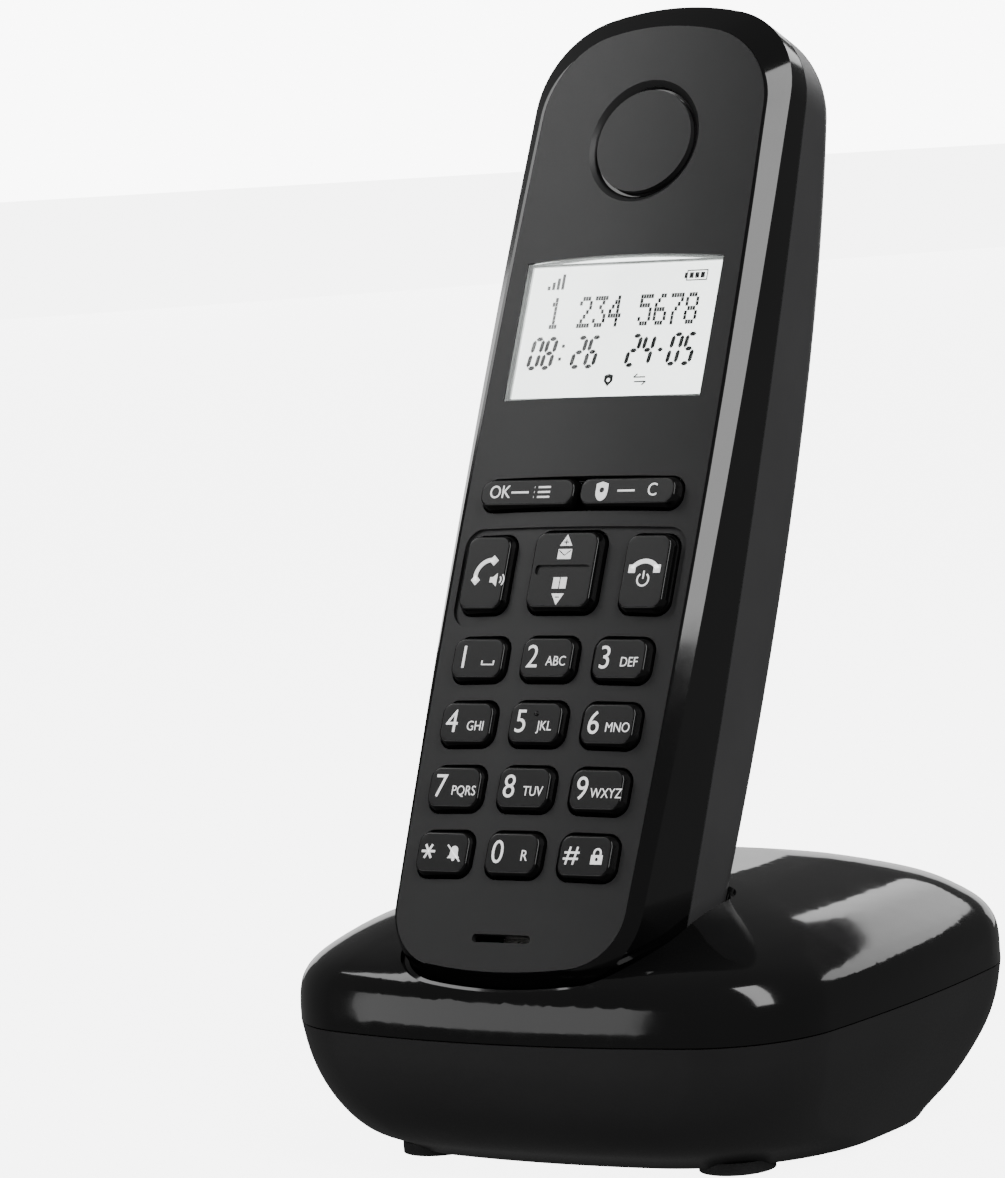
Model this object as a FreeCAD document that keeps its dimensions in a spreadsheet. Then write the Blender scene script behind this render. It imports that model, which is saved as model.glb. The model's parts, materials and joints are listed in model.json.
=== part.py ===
import FreeCAD, Part
import math
import os
import Sketcher

# Cordless handset standing in its charging base. Millimetres, +Z up, +Y to the rear,
# origin at the middle of the base's footprint on the surface it stands on.
# The handset is drawn in its own frame: X across, Y up along it, Z out of its face.

os.makedirs("parts", exist_ok=True)
doc = FreeCAD.newDocument("cordless_phone")
V3 = FreeCAD.Vector
TURN_X = V3(1, 0, 0)

SIZES = [
    # where the docked handset stands
    ("lean_back", 25.86), ("dock_back", -40.7), ("dock_up", 29.4),
    # handset outline at its widest, and the smaller outline of its face plate
    ("body_half", 22.65), ("body_side_radius", 1900), ("body_side_centre", 92),
    ("body_foot", 0), ("body_foot_radius", 70), ("body_foot_corner", 11),
    ("body_head", 149.8), ("body_head_radius", 46), ("body_head_corner", 14.5),
    ("face_half", 20.3), ("face_side_radius", 1900), ("face_side_centre", 68),
    ("face_foot", 1.6), ("face_foot_radius", 75), ("face_foot_corner", 9),
    ("face_head", 145.6), ("face_head_radius", 42), ("face_head_corner", 13),
    # handset depths, measured down from the middle of the face
    ("crown_radius", 195), ("rim_depth", 3.0), ("face_edge_depth", 0.6),
    ("seam_depth", 15.4), ("seam_slope", 0.059), ("seam_gap", 0.24),
    ("back_depth", 26.1), ("back_edge_radius", 4.5),
    ("wall", 1.8), ("plate_thick", 1.0), ("face_wall", 2.2), ("lip_thick", 0.8), ("lip_high", 1.5),
    # keys
    ("column_pitch", 12.1), ("row_pitch", 9.65), ("last_row", 18.65),
    ("digit_wide", 9.5), ("digit_high", 6.8), ("soft_wide", 16.9), ("soft_high", 4.8),
    ("soft_up", 72.7), ("call_wide", 8.2), ("call_high", 11.9), ("call_up", 60.6),
    ("call_side", 13.7), ("nav_wide", 11.6), ("nav_high", 12.2), ("nav_up", 60.8),
    ("key_proud", 1.1), ("key_corner", 2.0), ("key_gap", 0.28), ("nav_gap", 0.4),
    ("key_draft", 20), ("flange_top", -3.3), ("flange_thick", 0.5), ("flange_wide", 0.55),
    ("stem_radius", 1.2), ("stem_end", -5.0), ("groove_wide", 9.2), ("groove_high", 1.5),
    ("groove_corner", 0.6), ("groove_deep", 0.35), ("soft_edge", 0.35),
    ("well_half", 19.0), ("well_low", 52.8), ("well_top", 67.7), ("well_depth", 0.4),
    ("well_corner", 3),
    # display
    ("glass_half", 16.85), ("glass_low", 87.6), ("glass_top", 109.4), ("glass_back", -1.5),
    ("glass_sunk", 0.2), ("glass_gap", 0.12), ("view_half", 16.4), ("view_low", 88.1),
    ("view_top", 108.7), ("frame_back", -1.95),
    # sound openings
    ("ear_up", 127.4), ("ear_radius", 8.0), ("ear_ring", 9.7),
    ("mic_up", 6.5), ("mic_half", 4.9), ("mic_tall", 1.2),
    # boards and what they carry
    ("board_top", -6.0), ("board_thick", 1.2), ("board_inset", 3.4),
    ("dome_high", 0.3), ("dome_radius", 2.2), ("dome_film", 0.05),
    ("mat_top", -4.5), ("mat_thick", 0.4), ("mat_half", 18.2), ("mat_low", 14),
    ("mat_up", 77), ("mat_hole", 1.6),
    # battery bay in the back
    ("cell_radius", 5.15), ("cell_long", 44.5), ("cell_side", 5.6), ("cell_depth", -16.3),
    ("cell_low", 47), ("bay_half", 14.2), ("bay_low", 43), ("bay_top", 95.5),
    ("bay_floor", -11.0), ("tray_half", 17.7), ("tray_low", 37.5), ("tray_top", 99.5),
    ("tray_front", -9.8), ("cover_half", 16.4), ("cover_low", 38.8), ("cover_top", 98.2),
    ("cover_thick", 1.6), ("cover_gap", 0.25),
    # handset screws
    ("screw_radius", 1.0), ("screw_head", 1.9), ("boss_radius", 3.0), ("screw_bore", 1.05),
    # base outline at its seam
    ("base_half", 45.2), ("base_side_radius", 240), ("base_front", -41.8),
    ("base_end_radius", 140), ("base_corner", 18), ("base_back", 41.8),
    ("base_seam", 21), ("base_floor", 1.0), ("base_wall", 1.9), ("base_lip", 1.2),
    # cradle in the base's top
    ("cradle_gap", 0.5), ("cradle_back", -26.6), ("cradle_lip", 0.6),
    ("cradle_corner", 4.5), ("cradle_wall", 1.8),
    # feet, contacts, jacks, finder key
    ("foot_radius", 5.5), ("foot_thick", 1.0), ("foot_side", 25.5), ("foot_front", 20.5),
    ("pad_side", 8), ("pad_wide", 3), ("pad_low", -19.4), ("pad_tall", 3),
    ("blade_wide", 1.8), ("blade_thick", 1.0),
    ("jack_side", 17), ("jack_wide", 13), ("jack_tall", 9.5), ("jack_deep", 13.5),
    ("jack_low", 4.2), ("jack_mouth", 35.0), ("socket_wide", 9.8), ("socket_tall", 6.8),
    ("socket_deep", 10.5),
    ("finder_radius", 3.0), ("finder_up", 24.6), ("finder_out", 41.6), ("finder_long", 13.1),
    ("finder_flange", 3.8),
]

# Heights of the base's outline sections, and how far each has drawn in from the seam's outline.
BODY_OF_BASE = [
    (21.0, 0.0, 0.0, 18.0), (19.0, 0.35, 0.15, 18.1), (16.0, 1.0, 0.4, 18.4), (12.5, 2.3, 0.9, 19.0),
    (9.0, 4.1, 1.9, 20.0), (6.0, 5.6, 3.9, 21.2), (3.5, 6.6, 7.8, 22.4), (1.0, 7.3, 12.8, 24.0),
]
# Height, half width, front and back of the sections through the base's domed top.
TOP_OF_BASE = [
    (21.0, 45.2, -41.8, 41.8), (23.5, 45.2, -41.7, 41.8), (26.0, 45.0, -41.35, 41.75),
    (28.0, 44.2, -40.75, 41.4), (29.5, 42.95, -39.8, 40.7), (31.0, 41.1, -37.8, 39.2),
    (33.0, 38.2, -32.6, 36.2), (35.0, 33.2, -25.8, 32.0), (37.0, 24.4, -16.8, 26.4),
    (38.2, 15.0, -8.6, 21.0),
]

sheet = doc.addObject("Spreadsheet::Sheet", "Sizes")
for row, (alias, size) in enumerate(SIZES, start=1):
    sheet.set(f"A{row}", alias.replace("_", " "))
    sheet.set(f"B{row}", str(size))
    sheet.setAlias(f"B{row}", alias)
doc.recompute()
SIZE = {alias: float(sheet.get(alias)) for alias, _ in SIZES}
NODES = []
LOFT_DEGREE = 3


def keep(piece, node, place=None):
    """Names a finished sub-part and stands it in its place."""
    piece.Label = node
    if place is not None:
        piece.Placement = place
    NODES.append(piece)
    return piece


def bind(piece, links):
    """Binds a piece's properties to formulas of the sheet's cells."""
    for path, formula in links.items():
        piece.setExpression(path, str(formula))


def formula(text):
    """Puts the sheet's name before each of its aliases."""
    words, word = [], ""
    for mark in str(text) + " ":
        if mark.isalnum() or mark in "_.":
            word += mark
            continue
        words.append(f"Sizes.{word}" if word in SIZE else word)
        words.append(mark)
        word = ""
    return "".join(words).strip()


def place_at(piece, corner):
    bind(piece, {f".Placement.Base.{axis}": formula(at) for axis, at in zip("xyz", corner)})


def block(name, corner, size):
    """A rectangular block from its lowest corner and its three sizes."""
    piece = doc.addObject("Part::Box", name)
    bind(piece, {side: formula(text) for side, text in zip(("Length", "Width", "Height"), size)})
    place_at(piece, corner)
    return piece


def rod(name, radius, long, base, turn=None):
    """A cylinder along Z from its base, or turned by the given rotation."""
    piece = doc.addObject("Part::Cylinder", name)
    bind(piece, {"Radius": formula(radius), "Height": formula(long)})
    if turn is not None:
        piece.Placement.Rotation = turn
    place_at(piece, base)
    return piece


def cut(name, base, tool):
    piece = doc.addObject("Part::Cut", name)
    piece.Base, piece.Tool = base, tool
    return piece


def join(name, pieces):
    """Several solids as one, fused where they touch."""
    piece = doc.addObject("Part::MultiFuse", name)
    piece.Shapes = pieces
    return piece


def group(name, pieces):
    """Separate solids of one node."""
    piece = doc.addObject("Part::Compound", name)
    piece.Links = pieces
    return piece


def made(name, shape):
    """A shape made by formula, from sizes that the sheet holds."""
    piece = doc.addObject("Part::Feature", name)
    piece.Shape = shape
    return piece


HANDSET = FreeCAD.Placement(
    V3(0, SIZE["dock_back"], SIZE["dock_up"]), FreeCAD.Rotation(TURN_X, 90 - SIZE["lean_back"])
)


# ---- outlines -------------------------------------------------------------------------------


def unit(vector):
    return vector.normalize()


def inner_corner(end, end_radius, side, side_radius, corner, sign):
    """Centre of the corner arc that touches the end's arc and the side's arc from inside."""
    from_end, from_side = end_radius - corner, side_radius - corner
    line = side - end
    along = (from_end**2 - from_side**2 + line.Length**2) / (2 * line.Length)
    off = math.sqrt(from_end**2 - along**2)
    middle = end + line * (along / line.Length)
    across = V3(-line.y, line.x, 0) * (off / line.Length)
    return min((middle + across, middle - across), key=lambda point: -sign * point.y)


def outline(half, side_radius, side_centre, foot, foot_radius, foot_corner, head, head_radius,
            head_corner, inset=0.0, height=0.0):
    """A closed symmetrical outline of eight tangent arcs, drawn in by inset, at a height."""
    foot_at = V3(0, foot + foot_radius, 0)
    head_at = V3(0, head - head_radius, 0)
    side_at = V3(half - side_radius, side_centre, 0)
    low = inner_corner(foot_at, foot_radius, side_at, side_radius, foot_corner, -1)
    high = inner_corner(head_at, head_radius, side_at, side_radius, head_corner, 1)
    centres = [foot_at, low, side_at, high, head_at]
    radii = [foot_radius, foot_corner, side_radius, head_corner, head_radius]
    radii = [radius - inset for radius in radii]
    points = [V3(0, foot + inset, 0)]
    middles = []
    for first, second, radius in ((0, 1, 0), (2, 1, 2), (2, 3, 2), (4, 3, 4)):
        points.append(centres[first] + unit(centres[second] - centres[first]) * radii[radius])
    points.append(V3(0, head - inset, 0))
    for centre, radius, start, end in zip(centres, radii, points, points[1:]):
        toward = unit(start - centre) + unit(end - centre)
        middles.append(centre + unit(toward) * radius)
    right = list(zip(points, middles, points[1:]))
    left = [(mirrored(end), mirrored(mid), mirrored(start)) for start, mid, end in reversed(right)]
    lift = V3(0, 0, height)
    edges = [Part.Arc(a + lift, b + lift, c + lift).toShape() for a, b, c in joined_ends(right, left)]
    return Part.Wire(edges)


def mirrored(point):
    return V3(-point.x, point.y, point.z)


def joined_ends(right, left):
    """Runs the foot's two half arcs, and the head's, through as whole arcs."""
    whole_head = (right[-1][0], right[-1][2], left[0][2])
    whole_foot = (left[-1][0], left[-1][2], right[0][2])
    return right[1:-1] + [whole_head] + left[1:-1] + [whole_foot]


def named_outline(kind, inset=0.0, height=0.0):
    words = ("half", "side_radius", "side_centre", "foot", "foot_radius", "foot_corner", "head",
             "head_radius", "head_corner")
    return outline(*(SIZE[f"{kind}_{word}"] for word in words), inset, height)


def slab(wire, bottom, top):
    """A prism on a flat outline between two heights."""
    wire = wire.copy()
    wire.translate(V3(0, 0, bottom - wire.BoundBox.ZMin))
    return Part.Face(wire).extrude(V3(0, 0, top - bottom))


def box(x_low, x_high, y_low, y_high, z_low, z_high):
    return Part.makeBox(x_high - x_low, y_high - y_low, z_high - z_low, V3(x_low, y_low, z_low))


def rounded_box(half, y_low, y_high, z_low, z_high, corner):
    """A block on the centre line with four rounded upright edges."""
    plain = box(-half, half, y_low, y_high, z_low, z_high)
    upright = [e for e in plain.Edges if abs(e.Vertexes[0].Z - e.Vertexes[1].Z) > 1e-6]
    return plain.makeFillet(corner, upright)


def round_rod(radius, x, y, z_low, z_high):
    return Part.makeCylinder(radius, z_high - z_low, V3(x, y, z_low))


# ---- handset shells -------------------------------------------------------------------------


def under_crown(drop):
    """Everything below the face's gentle crown, let down by drop."""
    radius = SIZE["crown_radius"] - drop
    return Part.makeCylinder(
        radius, 170, V3(0, -10, -SIZE["crown_radius"]), V3(0, 1, 0)
    )


def front_form(inset, drop):
    """The front half's outer form, drawn in by inset and let down by drop at the face."""
    rim, edge = -SIZE["rim_depth"] - drop, -SIZE["face_edge_depth"] - drop
    side = slab(named_outline("body", inset), -30, rim)
    slope = Part.makeLoft(
        [named_outline("body", inset, rim), named_outline("face", inset, edge)], True, True
    )
    head = slab(named_outline("face", inset), edge, 2)
    return side.fuse([slope, head]).removeSplitter().common(under_crown(drop))


def back_profile(raise_by):
    """The space in front of the back's long curve, seen from the side."""
    deep = -SIZE["back_depth"] + raise_by
    foot, belly, turn = V3(0, -2, deep + 0.6), V3(0, 28, deep), V3(0, 96, deep + 3.2)
    head = V3(0, 152, deep + 13.2)
    low = Part.Arc(foot, belly, turn).toShape()
    high = Part.Arc(turn, V3(0, 124, deep + 7.0), head).toShape()
    far = [V3(0, 152, 5), V3(0, -2, 5)]
    lines = [Part.makeLine(head, far[0]), Part.makeLine(far[0], far[1]), Part.makeLine(far[1], foot)]
    profile = Part.Face(Part.Wire([low, high, *lines]))
    profile.translate(V3(-30, 0, 0))
    return profile.extrude(V3(60, 0, 0))


def back_form(inset, raise_by):
    """The back half's outer form with its long edges rounded."""
    form = slab(named_outline("body", inset), -30, 0).common(back_profile(raise_by))
    back = [f for f in form.Faces if f.CenterOfMass.z < -14 and abs(f.normalAt(0, 0).x) < 0.01
            and f.BoundBox.YLength > 30]
    rim = [e for f in back for e in f.Edges if not is_shared(e, back)]
    return form.makeFillet(SIZE["back_edge_radius"] - inset, rim)


def is_shared(edge, faces):
    return sum(any(edge.isSame(other) for other in face.Edges) for face in faces) > 1


def seam_side(above, shift):
    """The space in front of, or behind, the plane where the two shells meet."""
    depth, slope = -SIZE["seam_depth"] + shift, SIZE["seam_slope"]
    low, high = V3(-40, -10, depth - 10 * slope), V3(-40, 170, depth + 170 * slope)
    end = 20 if above else -50
    corners = [low, high, V3(-40, 170, end), V3(-40, -10, end), low]
    return Part.Face(Part.makePolygon(corners)).extrude(V3(80, 0, 0))


SCREWS = [(15.5, 117.5), (-15.5, 117.5), (12.5, 8.8), (-12.5, 8.8)]


def key_places():
    """Every key's name, centre, size and clearance."""
    digits = ["7", "8", "9", "4", "5", "6", "1", "2", "3"]
    names = ["key_star", "key_0", "key_hash"] + [f"key_{digit}" for digit in digits]
    digit = (SIZE["digit_wide"], SIZE["digit_high"], SIZE["key_gap"])
    pitch, row = SIZE["column_pitch"], SIZE["row_pitch"]
    for number, name in enumerate(names):
        yield name, (number % 3 - 1) * pitch, SIZE["last_row"] + number // 3 * row, digit
    soft = (SIZE["soft_wide"], SIZE["soft_high"], SIZE["key_gap"])
    middle = SIZE["soft_wide"] / 2 + SIZE["key_gap"] / 2
    yield "softkey_left", -middle, SIZE["soft_up"], soft
    yield "softkey_right", middle, SIZE["soft_up"], soft
    call = (SIZE["call_wide"], SIZE["call_high"], SIZE["key_gap"])
    yield "talk_key", -SIZE["call_side"], SIZE["call_up"], call
    yield "end_key", SIZE["call_side"], SIZE["call_up"], call
    yield "nav_key", 0.0, SIZE["nav_up"], (SIZE["nav_wide"], SIZE["nav_high"], SIZE["nav_gap"])


def key_holes():
    """What the keys need cut through the face."""
    holes = []
    for name, across, up, (wide, high, gap) in key_places():
        hole = rounded_box(wide / 2 + gap, up - high / 2 - gap, up + high / 2 + gap, -6, 4,
                           SIZE["key_corner"] + gap)
        if name.startswith("softkey"):
            continue
        hole.translate(V3(across, 0, 0))
        holes.append(hole)
    gap, half_high = SIZE["key_gap"], SIZE["soft_high"] / 2
    strip = rounded_box(SIZE["soft_wide"] + 1.5 * gap, SIZE["soft_up"] - half_high - gap,
                        SIZE["soft_up"] + half_high + gap, -6, 4, SIZE["key_corner"] + gap)
    return holes + [strip]


def display_hole(grow):
    """The window's outline, with its gently arched top, as a cutter."""
    half, low, top = SIZE["glass_half"] + grow, SIZE["glass_low"] - grow, SIZE["glass_top"] + grow
    corners = [V3(half, top - 0.5, 0), V3(-half, top - 0.5, 0), V3(-half, low, 0), V3(half, low, 0)]
    edges = [Part.Arc(corners[0], V3(0, top, 0), corners[1]).toShape()]
    edges += [Part.makeLine(corners[i], corners[(i + 1) % 4]) for i in (1, 2, 3)]
    return Part.Face(Part.Wire(edges)).extrude(V3(0, 0, 10))


def mic_slot():
    half, tall = SIZE["mic_half"], SIZE["mic_tall"] / 2
    slot = rounded_box(half, SIZE["mic_up"] - tall, SIZE["mic_up"] + tall, -6, 4, tall * 0.98)
    return slot


def front_shell():
    """Glossy frame round the face, with the wall behind the face plate."""
    wall, skin = SIZE["wall"], SIZE["face_wall"]
    shell = front_form(0, 0).cut(front_form(wall, skin))
    shell = shell.common(seam_side(True, SIZE["seam_gap"] / 2))
    recess = slab(named_outline("face"), -4, 4).cut(under_crown(SIZE["plate_thick"] + 0.04))
    glass = display_hole(0.35)
    glass.translate(V3(0, 0, -5))
    ear = round_rod(1.0, 0, 0, -6, 4)
    ears = [ear.copy() for _ in range(7)]
    for number, hole in enumerate(ears):
        turn = math.radians(60 * number)
        reach = 4.0 if number < 6 else 0
        hole.translate(V3(reach * math.cos(turn), SIZE["ear_up"] + reach * math.sin(turn), 0))
    groove = round_rod(SIZE["ear_radius"] + 0.1, 0, SIZE["ear_up"], -1.7, 4)
    shell = shell.cut([recess, glass, mic_slot(), groove, *ears, *key_holes()])
    ceiling = front_form(wall - 0.2, skin - 0.3)
    for across, up in SCREWS:
        boss = round_rod(2.6, across, up, SIZE["board_top"] + 0.1, 0).common(ceiling)
        shell = shell.fuse(boss).cut(round_rod(SIZE["screw_bore"], across, up, -30, -3.6))
    keep(made("front_shell", shell.removeSplitter()), "handset_front_shell", HANDSET)


def face_plate():
    """Satin plate let into the glossy frame."""
    plate = slab(named_outline("face", 0.06), -4, 4).common(under_crown(0))
    plate = plate.cut(under_crown(SIZE["plate_thick"]))
    well = rounded_box(SIZE["well_half"], SIZE["well_low"], SIZE["well_top"], -4, 4,
                       SIZE["well_corner"]).cut(under_crown(SIZE["well_depth"]))
    glass = display_hole(SIZE["glass_gap"])
    glass.translate(V3(0, 0, -5))
    ring = Part.makeCone(SIZE["ear_ring"] - 1.35, SIZE["ear_ring"], 1.3, V3(0, SIZE["ear_up"], -1.2))
    plate = plate.cut([well, glass, ring, mic_slot(), *key_holes()])
    keep(made("face_plate_form", plate), "handset_face_plate", HANDSET)


def ear_cap():
    """Disc in the earpiece's ring, with sound slots under its edge."""
    radius, up = SIZE["ear_radius"], SIZE["ear_up"]
    cap = round_rod(radius, 0, up, -1.65, 2).common(under_crown(0.02))
    cap = cap.cut(round_rod(radius - 1.2, 0, up, -2, -0.9))
    slots = [box(-0.5, 0.5, up + side * 5.9 - 1.1, up + side * 5.9 + 1.1, -1.3, -0.95) for side in (-1, 1)]
    keep(made("ear_cap_form", cap.cut(slots)), "earpiece_cap", HANDSET)


def tray_block():
    half, low, top = SIZE["tray_half"], SIZE["tray_low"], SIZE["tray_top"]
    bay = box(-SIZE["bay_half"], SIZE["bay_half"], SIZE["bay_low"], SIZE["bay_top"], -40,
              SIZE["bay_floor"])
    return box(-half, half, low, top, -40, SIZE["tray_front"]), bay


def cover_region(grow):
    half = SIZE["cover_half"] + grow
    return rounded_box(half, SIZE["cover_low"] - grow, SIZE["cover_top"] + grow, -40, -12, 3 + grow)


def back_shell():
    """Rear shell with the battery tray, screw posts and a lip that enters the front shell."""
    wall, thick = SIZE["wall"], SIZE["cover_thick"]
    outer, inner = back_form(0, 0), back_form(wall, wall)
    shell = outer.cut(inner).common(seam_side(False, -SIZE["seam_gap"] / 2))
    lip = slab(named_outline("body", wall + 0.1), -30, 0)
    lip = lip.cut(slab(named_outline("body", wall + 0.1 + SIZE["lip_thick"]), -31, 1))
    lip = lip.common(seam_side(False, SIZE["lip_high"])).common(seam_side(True, -1.2))
    root = slab(named_outline("body", wall - 0.4), -30, 0)
    root = root.cut(slab(named_outline("body", wall + 0.1 + SIZE["lip_thick"]), -31, 1))
    root = root.common([seam_side(False, -SIZE["seam_gap"] / 2)]).common(seam_side(True, -1.2))
    tray, bay = tray_block()
    layer = back_form(thick + 0.1, thick + 0.1)
    shell = shell.fuse([lip, root, tray.common(layer)])
    for across, up in SCREWS:
        top = SIZE["board_top"] - SIZE["board_thick"] - 0.1
        shell = shell.fuse(round_rod(SIZE["boss_radius"], across, up, -30, top).common(back_form(0.3, 0.3)))
    shell = shell.cut([bay, cover_region(SIZE["cover_gap"]).cut(layer)])
    for across, up in SCREWS:
        shell = shell.cut([round_rod(1.3, across, up, -30, -5), round_rod(2.2, across, up, -30, -13)])
    for side in (-1, 1):
        shell = shell.cut(contact_slot(side, 0.1))
    keep(made("back_shell_form", shell.removeSplitter()), "handset_back_shell", HANDSET)


def contact_slot(side, grow):
    middle, half = side * SIZE["pad_side"], SIZE["pad_wide"] / 2 + grow
    low = SIZE["pad_low"] - grow
    return box(middle - half, middle + half, -3, 4.2, low, low + SIZE["pad_tall"] + 2 * grow)


def battery_cover():
    """Cover of the battery bay, flush with the back, with finger ribs."""
    thick = SIZE["cover_thick"]
    cover = cover_region(0).common(back_form(0, 0).cut(back_form(thick, thick)))
    ribs = []
    for number in range(5):
        up = 88 + 1.8 * number
        ribs.append(box(-6, 6, up, up + 0.8, -40, -12).cut(back_form(0.35, 0.35)))
    keep(made("battery_cover_form", cover.cut(ribs)), "battery_cover", HANDSET)


# ---- keys -----------------------------------------------------------------------------------


def plane_of(body, role):
    return [plane for plane in body.Origin.OriginFeatures if plane.Role == role][0]


def rounded_sketch(body, name, wide, high, corner, up):
    """A rounded rectangle on the body's XY plane, raised to a height."""
    sketch = body.newObject("Sketcher::SketchObject", name)
    sketch.AttachmentSupport = [(plane_of(body, "XY_Plane"), "")]
    sketch.MapMode = "FlatFace"
    bind(sketch, {".AttachmentOffset.Base.z": formula(up)})
    x, y, r = value(wide) / 2, value(high) / 2, value(corner)
    across = [(x - r, y - r, 0), (r - x, y - r, 90), (r - x, r - y, 180), (x - r, r - y, 270)]
    for x_at, y_at, start in across:
        arc = Part.Circle(V3(x_at, y_at, 0), V3(0, 0, 1), r)
        first = math.radians(start)
        sketch.addGeometry(Part.ArcOfCircle(arc, first, first + math.pi / 2))
    ends = [(V3(x - r, y, 0), V3(r - x, y, 0)), (V3(-x, y - r, 0), V3(-x, r - y, 0)),
            (V3(r - x, -y, 0), V3(x - r, -y, 0)), (V3(x, r - y, 0), V3(x, y - r, 0))]
    for line_start, line_end in ends:
        sketch.addGeometry(Part.LineSegment(line_start, line_end))
    rules = []
    for corner_number in range(4):
        line, following = 4 + corner_number, (corner_number + 1) % 4
        rules.append(Sketcher.Constraint("Tangent", corner_number, 2, line, 1))
        rules.append(Sketcher.Constraint("Tangent", line, 2, following, 1))
    rules += [Sketcher.Constraint("Equal", 0, other) for other in (1, 2, 3)]
    rules += [Sketcher.Constraint("Horizontal", 4), Sketcher.Constraint("Vertical", 5)]
    rules.append(Sketcher.Constraint("Symmetric", 0, 3, 2, 3, -1, 1))
    sketch.addConstraint(rules)
    sizes = {"corner": ("Radius", (0,), r, corner), "wide": ("DistanceX", (5, 1, 7, 2), 2 * x, wide),
             "high": ("DistanceY", (6, 1, 4, 2), 2 * y, high)}
    for word, (kind, parts, number, text) in sizes.items():
        index = sketch.addConstraint(Sketcher.Constraint(kind, *parts, number))
        sketch.renameConstraint(index, word)
        sketch.setExpression(f"Constraints.{word}", formula(text))
    return sketch


def value(text):
    """The number that a sum of products of aliases and numbers comes to."""
    total = 0.0
    for term in str(text).replace("- ", "+ -").split("+"):
        product = 1.0
        for factor in term.split("*"):
            word = factor.strip()
            sign = -1.0 if word.startswith("-") else 1.0
            word = word.lstrip("-").strip()
            product *= sign * (SIZE[word] if word in SIZE else float(word))
        total += product
    return total


def pad(body, sketch, name, thick, taper=None):
    raised = body.newObject("PartDesign::Pad", name)
    raised.Profile = sketch
    bind(raised, {"Length": formula(thick)})
    if taper is not None:
        bind(raised, {"TaperAngle": formula(taper)})
    return raised


def finger_groove(body):
    """Shallow groove across the middle of the rocking key."""
    shape = rounded_sketch(body, "groove", "groove_wide", "groove_high", "groove_corner", "key_proud")
    groove = body.newObject("PartDesign::Pocket", "groove_pocket")
    groove.Profile = shape
    bind(groove, {"Length": formula("groove_deep")})
    body.Tip = groove


def key_body(node, wide, high, across, up, stems, flange_across="flange_wide"):
    """One moulded key: retaining flange, shank through the face, drafted cap, switch stems."""
    body = doc.addObject("PartDesign::Body", node + "_body")
    sag = across**2 / (2 * SIZE["crown_radius"])
    shank_top = -0.25 - sag
    flange = rounded_sketch(body, node + "_flange", f"{wide} + 2 * {flange_across}",
                            f"{high} + 2 * flange_wide", "key_corner", "flange_top + -1 * flange_thick")
    pad(body, flange, node + "_flange_pad", "flange_thick")
    shank = rounded_sketch(body, node + "_shank", wide, high, "key_corner", "flange_top")
    pad(body, shank, node + "_shank_pad", f"{shank_top} + -1 * flange_top")
    cap = rounded_sketch(body, node + "_cap", wide, high, "key_corner", shank_top)
    pad(body, cap, node + "_cap_pad", "key_proud + 0.25", "-1 * key_draft")
    for number, (stem_x, stem_y) in enumerate(stems):
        post = body.newObject("Sketcher::SketchObject", f"{node}_stem_{number}")
        post.AttachmentSupport = [(plane_of(body, "XY_Plane"), "")]
        post.MapMode = "FlatFace"
        bind(post, {".AttachmentOffset.Base.z": formula("stem_end")})
        post.addGeometry(Part.Circle(V3(stem_x, stem_y, 0), V3(0, 0, 1), SIZE["stem_radius"]))
        post.addConstraint(Sketcher.Constraint("Radius", 0, SIZE["stem_radius"]))
        post.renameConstraint(0, "round")
        post.setExpression("Constraints.round", formula("stem_radius"))
        pad(body, post, f"{node}_stem_pad_{number}", "flange_top + -1 * flange_thick + -1 * stem_end + 0.1")
    doc.recompute()
    tip = body.Tip
    top = max(tip.Shape.Faces, key=lambda face: face.CenterOfMass.z)
    names = [f"Edge{i + 1}" for i, edge in enumerate(tip.Shape.Edges)
             if any(edge.isSame(other) for other in top.Edges)]
    softened = body.newObject("PartDesign::Fillet", node + "_soft_edge")
    softened.Base = (tip, names)
    softened.Radius = SIZE["soft_edge"]
    body.Tip = softened
    if node == "nav_key":
        finger_groove(body)
    return keep(body, node, HANDSET * FreeCAD.Placement(V3(across, up, 0), FreeCAD.Rotation()))


def keys():
    kinds = {"key": ("digit_wide", "digit_high"), "softkey": ("soft_wide", "soft_high"),
             "talk": ("call_wide", "call_high"), "end": ("call_wide", "call_high"),
             "nav": ("nav_wide", "nav_high")}
    for name, across, up, _ in key_places():
        wide, high = kinds[name.split("_")[0]]
        stems = [(0, 3.2), (0, -3.2)] if name == "nav_key" else [(0, 0)]
        side_by_side = name.startswith("softkey")
        key_body(name, wide, high, across, up, stems, "0" if side_by_side else "flange_wide")


def stem_places():
    for name, across, up, _ in key_places():
        if name == "nav_key":
            yield across, up + 3.2
            yield across, up - 3.2
        else:
            yield across, up


# ---- inside the handset ---------------------------------------------------------------------


def handset_board():
    top, thick = SIZE["board_top"], SIZE["board_thick"]
    board = slab(named_outline("body", SIZE["board_inset"]), top - thick, top)
    board = board.cut([round_rod(1.5, x, y, top - 4, top + 2) for x, y in SCREWS])
    keep(made("board_form", board), "handset_circuit_board", HANDSET)


def dome_sheet():
    """Film of snap domes over the switch pads."""
    top, film = SIZE["board_top"], SIZE["dome_film"]
    half, low, up = SIZE["mat_half"] - 1, SIZE["mat_low"] + 0.2, SIZE["mat_up"] - 0.5
    domes = rounded_box(half, low, up, top, top + film, 2)
    for across, along in stem_places():
        radius = (SIZE["dome_radius"]**2 + SIZE["dome_high"]**2) / (2 * SIZE["dome_high"])
        ball = Part.makeSphere(radius, V3(across, along, top + SIZE["dome_high"] - radius))
        domes = domes.fuse(ball.common(box(-30, 30, 0, 90, top, top + 2)))
    holes = [round_rod(3.2, x, y, top - 1, top + 2) for x, y in SCREWS]
    keep(made("dome_form", domes.cut(holes)), "key_dome_sheet", HANDSET)


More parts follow.
